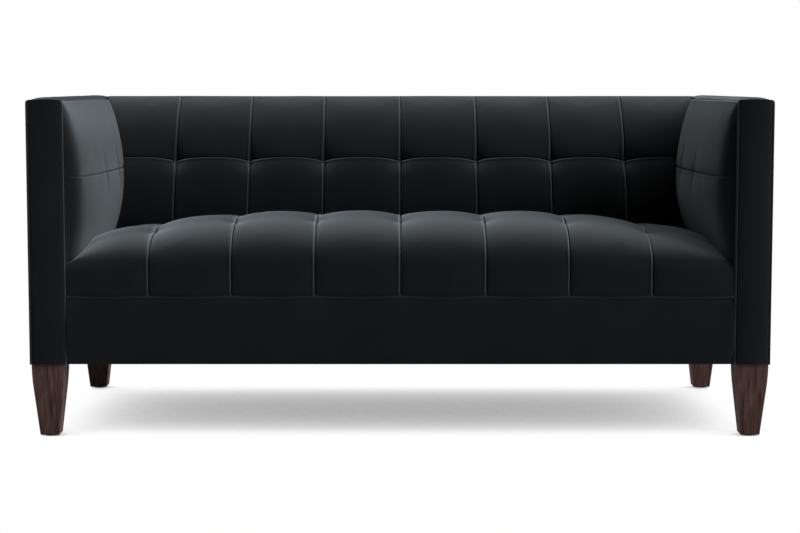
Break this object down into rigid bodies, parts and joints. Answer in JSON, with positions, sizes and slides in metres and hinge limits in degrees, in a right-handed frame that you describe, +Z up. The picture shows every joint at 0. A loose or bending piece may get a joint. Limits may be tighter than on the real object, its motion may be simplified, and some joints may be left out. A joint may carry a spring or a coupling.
{
  "type": "loveseat",
  "caption": "Loveseat with level arms and back, tufted tight seat and back in dark velvet, tapered wooden legs.",
  "frame": {"origin": "on the floor under the middle of the loveseat", "axes": "+Z up, +X along the width to the right as seen from the front, -Y out of the front"},
  "size_m": [1.752, 0.816, 0.805],
  "materials": {
    "velvet": "short-pile velvet, blue-black",
    "foam": "open-cell upholstery foam",
    "felt": "needled cotton felt",
    "frame_wood": "bare hardwood, planed",
    "plywood": "birch plywood",
    "leg_wood": "espresso stain, satin lacquer",
    "steel": "drawn and pressed steel",
    "webbing": "woven jute webbing",
    "fibreboard": "hardboard",
    "dust_cloth": "black cambric",
    "glide_plastic": "moulded nylon"
  },
  "bodies": {
    "root": {"arm_felts": "felt", "arm_liner_rails": "frame_wood", "arm_webbing": "webbing", "back_felt": "felt", "back_liner_rail": "frame_wood", "back_ribs": "plywood", "back_top_rail": "frame_wood", "back_top_strip": "velvet", "back_top_welt": "velvet", "back_webbing": "webbing", "corner_blocks": "frame_wood", "corner_screws": "steel", "dust_cover": "dust_cloth", "frame_dowels": "frame_wood", "front_border": "velvet", "front_border_felt": "felt", "front_rail": "frame_wood", "inside_back_cover": "velvet", "inside_back_foam": "foam", "left_arm_front_panel": "velvet", "left_arm_top_rail": "frame_wood", "left_arm_top_strip": "velvet", "left_arm_welts": "velvet", "left_front_leg": "leg_wood", "left_front_post": "frame_wood", "left_inside_arm_cover": "velvet", "left_inside_arm_foam": "foam", "left_outside_arm_board": "fibreboard", "left_outside_arm_cover": "velvet", "left_rear_leg": "leg_wood", "left_rear_post": "frame_wood", "left_side_rail": "frame_wood", "leg_bolts": "steel", "leg_glides": "glide_plastic", "leg_nuts": "steel", "outside_back_board": "fibreboard", "outside_back_cover": "velvet", "rear_rail": "frame_wood", "right_arm_front_panel": "velvet", "right_arm_top_rail": "frame_wood", "right_arm_top_strip": "velvet", "right_arm_welts": "velvet", "right_front_leg": "leg_wood", "right_front_post": "frame_wood", "right_inside_arm_cover": "velvet", "right_inside_arm_foam": "foam", "right_outside_arm_board": "fibreboard", "right_outside_arm_cover": "velvet", "right_rear_leg": "leg_wood", "right_rear_post": "frame_wood", "right_side_rail": "frame_wood", "seat_cover": "velvet", "seat_deck_pad": "felt", "seat_foam": "foam", "seat_springs": "steel", "seat_stretchers": "frame_wood", "seat_welt": "velvet", "spring_clips": "steel", "spring_tie_wires": "steel"}
  },
  "joints": []
}
